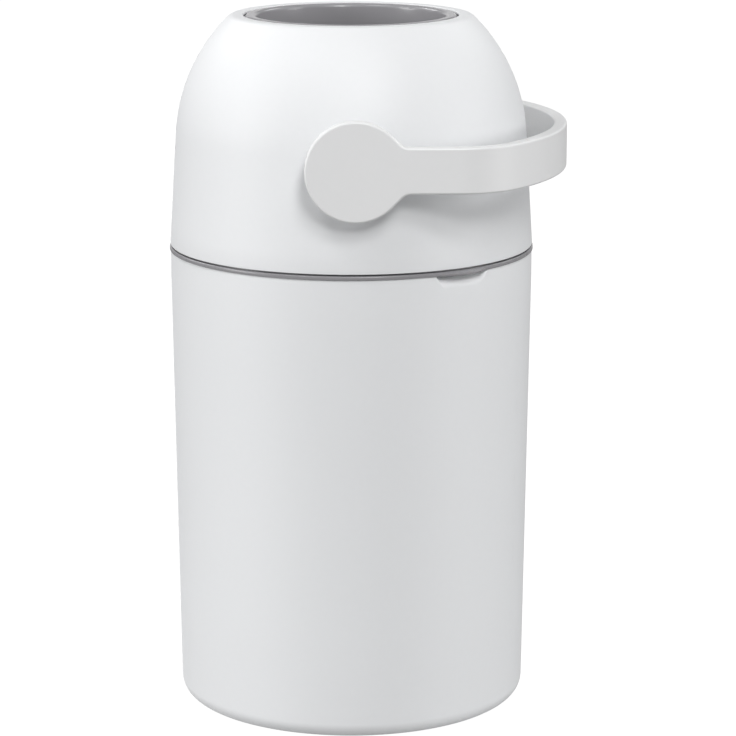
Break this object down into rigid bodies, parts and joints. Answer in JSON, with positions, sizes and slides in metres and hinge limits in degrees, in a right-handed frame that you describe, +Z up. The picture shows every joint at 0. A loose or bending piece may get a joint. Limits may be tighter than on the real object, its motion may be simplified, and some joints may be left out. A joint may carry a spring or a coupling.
{
  "type": "nappy bin",
  "caption": "Flip-handle nappy bin: tapered round bucket, hinged domed head with a turning drum and falling piston, and a wide U-shaped carrying handle.",
  "frame": {"origin": "centre of the bucket's flat underside, on the floor", "axes": "+Z up, drum axis along Y, +X towards the handle's grip as it is stored"},
  "size_m": [0.305, 0.3048, 0.5347],
  "materials": {
    "white_plastic": "satin moulded plastic with a very fine texture",
    "grey_plastic": "satin moulded plastic",
    "seal_rubber": "matt soft rubber",
    "steel": "plain zinc-plated steel"
  },
  "bodies": {
    "pail": {"bucket": "white_plastic", "base_pads": "seal_rubber", "bag_ring": "grey_plastic", "hinge_pin": "steel"},
    "head": {"head_base": "grey_plastic", "dome": "white_plastic", "dome_screws": "steel", "mouth_seal": "seal_rubber", "outlet_seal": "seal_rubber", "rim_gasket": "seal_rubber", "bearing_bush_front": "grey_plastic", "bearing_bush_back": "grey_plastic"},
    "drum": {"drum_shell_front": "grey_plastic", "drum_shell_back": "grey_plastic", "shell_screws": "steel", "chute_tube": "grey_plastic", "chute_rim_top": "grey_plastic", "chute_rim_bottom": "grey_plastic", "pivot_hub_front": "grey_plastic", "pivot_hub_back": "grey_plastic", "hub_screws": "steel", "handle": "white_plastic"},
    "piston": {"piston_body": "grey_plastic", "piston_cap_top": "grey_plastic", "piston_cap_bottom": "grey_plastic", "piston_wiper_top": "seal_rubber", "piston_wiper_bottom": "seal_rubber", "piston_weight": "steel"}
  },
  "joints": [
    {"name": "head_hinge", "type": "hinge", "parent": "pail", "child": "head", "pos_m": [-0.08374, 0.1196, 0.357], "axis": [-0.8192, -0.5736, 0], "range_deg": [0, 95]},
    {"name": "drum_turn", "type": "hinge", "parent": "head", "child": "drum", "pos_m": [0, 0, 0.4365], "axis": [0, -1, 0], "range_deg": [0, 180]},
    {"name": "piston_slide", "type": "slide", "parent": "drum", "child": "piston", "axis": [0, 0, 1], "range_m": [0, 0.1242]}
  ]
}
